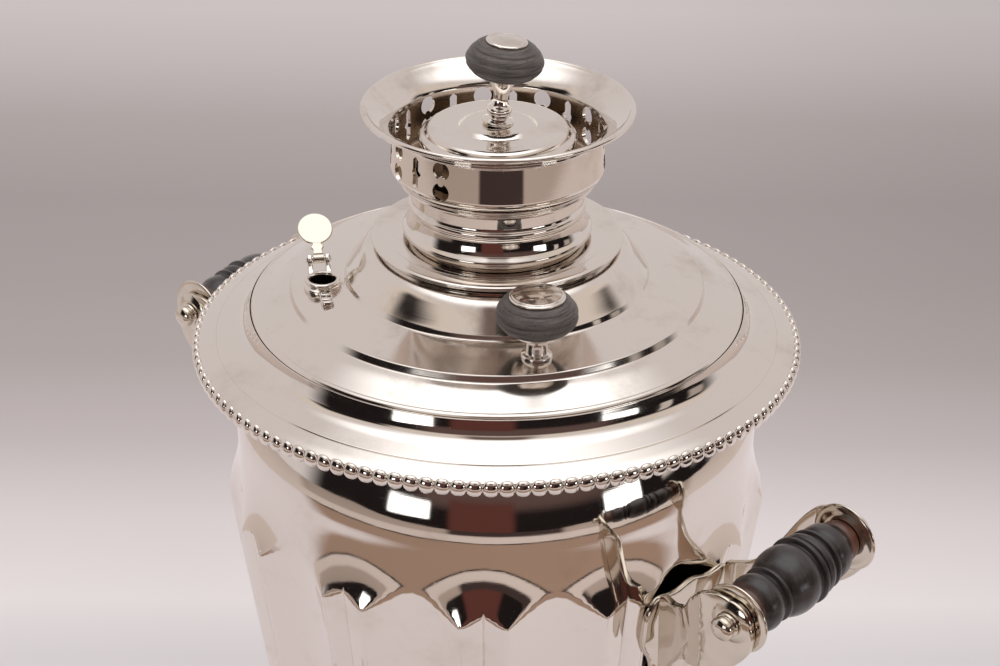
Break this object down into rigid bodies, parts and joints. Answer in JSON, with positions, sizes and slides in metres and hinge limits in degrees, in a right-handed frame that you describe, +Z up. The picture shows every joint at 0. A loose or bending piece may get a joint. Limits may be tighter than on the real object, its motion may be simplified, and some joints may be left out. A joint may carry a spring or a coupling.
{
  "type": "samovar",
  "caption": "Charcoal samovar: faceted metal urn on a square plinth, with fire tube, lift-off lid, pierced crown, chimney cap, hinged steam vent, keyed tap and wooden side handles.",
  "frame": {"origin": "middle of the bounding box on the table, under the feet; the vessel's own axis stands a little behind it, because the tap reaches forwards", "axes": "+Z up along the vessel's axis; the tap points to -Y; the side handles lie at +X and -X"},
  "size_m": [0.388, 0.329, 0.5027],
  "materials": {
    "body_nickel": "polished nickel plate with fine scratches",
    "lid_nickel": "polished nickel plate, slightly tarnished",
    "crown_nickel": "nickel plate, brown with heat on the inside",
    "handle_nickel": "cast and plated, tarnished in the recesses",
    "base_nickel": "polished nickel plate",
    "tap_nickel": "cast and plated",
    "dull_nickel": "dull, heat-stained plate",
    "brass": "bare, dull",
    "iron": "sooty casting",
    "knob_wood": "turned, weathered grey-brown",
    "grip_wood": "turned, dark stained and worn, satin"
  },
  "bodies": {
    "vessel": {"foot_1": "base_nickel", "foot_2": "base_nickel", "foot_3": "base_nickel", "foot_4": "base_nickel", "base_plinth": "base_nickel", "base_dome": "base_nickel", "draught_neck": "dull_nickel", "body_bowl": "body_nickel", "body_wall": "body_nickel", "rim_ring": "body_nickel", "bead_ring": "body_nickel", "fire_tube": "dull_nickel", "grate": "iron", "handle_bracket_right": "handle_nickel", "handle_grip_right": "grip_wood", "handle_rod_right": "dull_nickel", "handle_flange_right_a": "handle_nickel", "handle_nut_right_a": "handle_nickel", "handle_flange_right_b": "handle_nickel", "handle_nut_right_b": "handle_nickel", "handle_bracket_left": "handle_nickel", "handle_grip_left": "grip_wood", "handle_rod_left": "dull_nickel", "handle_flange_left_a": "handle_nickel", "handle_nut_left_a": "handle_nickel", "handle_flange_left_b": "handle_nickel", "handle_nut_left_b": "handle_nickel", "tap_escutcheon": "tap_nickel", "tap_body": "tap_nickel", "tap_nut": "brass"},
    "lid": {"lid_shell": "lid_nickel", "lid_plate": "lid_nickel", "lid_knob_stem_1": "lid_nickel", "lid_knob_wood_1": "knob_wood", "lid_knob_cap_1": "lid_nickel", "lid_knob_nut_1": "brass", "lid_knob_stem_2": "lid_nickel", "lid_knob_wood_2": "knob_wood", "lid_knob_cap_2": "lid_nickel", "lid_knob_nut_2": "brass", "vent_socket": "lid_nickel", "vent_pin": "lid_nickel"},
    "vent_flap": {"vent_flap": "lid_nickel"},
    "crown": {"crown_foot": "crown_nickel", "crown_gallery": "crown_nickel"},
    "chimney_cap": {"cap_shell": "lid_nickel", "cap_stem": "lid_nickel", "cap_wood": "knob_wood", "cap_disc": "lid_nickel", "cap_nut": "brass"},
    "tap_plug": {"tap_plug": "tap_nickel", "tap_key": "tap_nickel"}
  },
  "joints": [
    {"name": "lid_lift", "type": "slide", "parent": "vessel", "child": "lid", "axis": [0, 0, 1], "range_m": [0, 0.1]},
    {"name": "crown_lift", "type": "slide", "parent": "lid", "child": "crown", "axis": [0, 0, 1], "range_m": [0, 0.06]},
    {"name": "cap_lift", "type": "slide", "parent": "lid", "child": "chimney_cap", "axis": [0, 0, 1], "range_m": [0, 0.05]},
    {"name": "vent_hinge", "type": "hinge", "parent": "lid", "child": "vent_flap", "pos_m": [-0.0521, -0.02245, 0.4017], "axis": [0.5373, 0.8434, 0], "range_deg": [0, 145]},
    {"name": "tap_turn", "type": "hinge", "parent": "vessel", "child": "tap_plug", "pos_m": [0, -0.1199, 0.152], "axis": [0, 0, 1], "range_deg": [0, 90]}
  ]
}
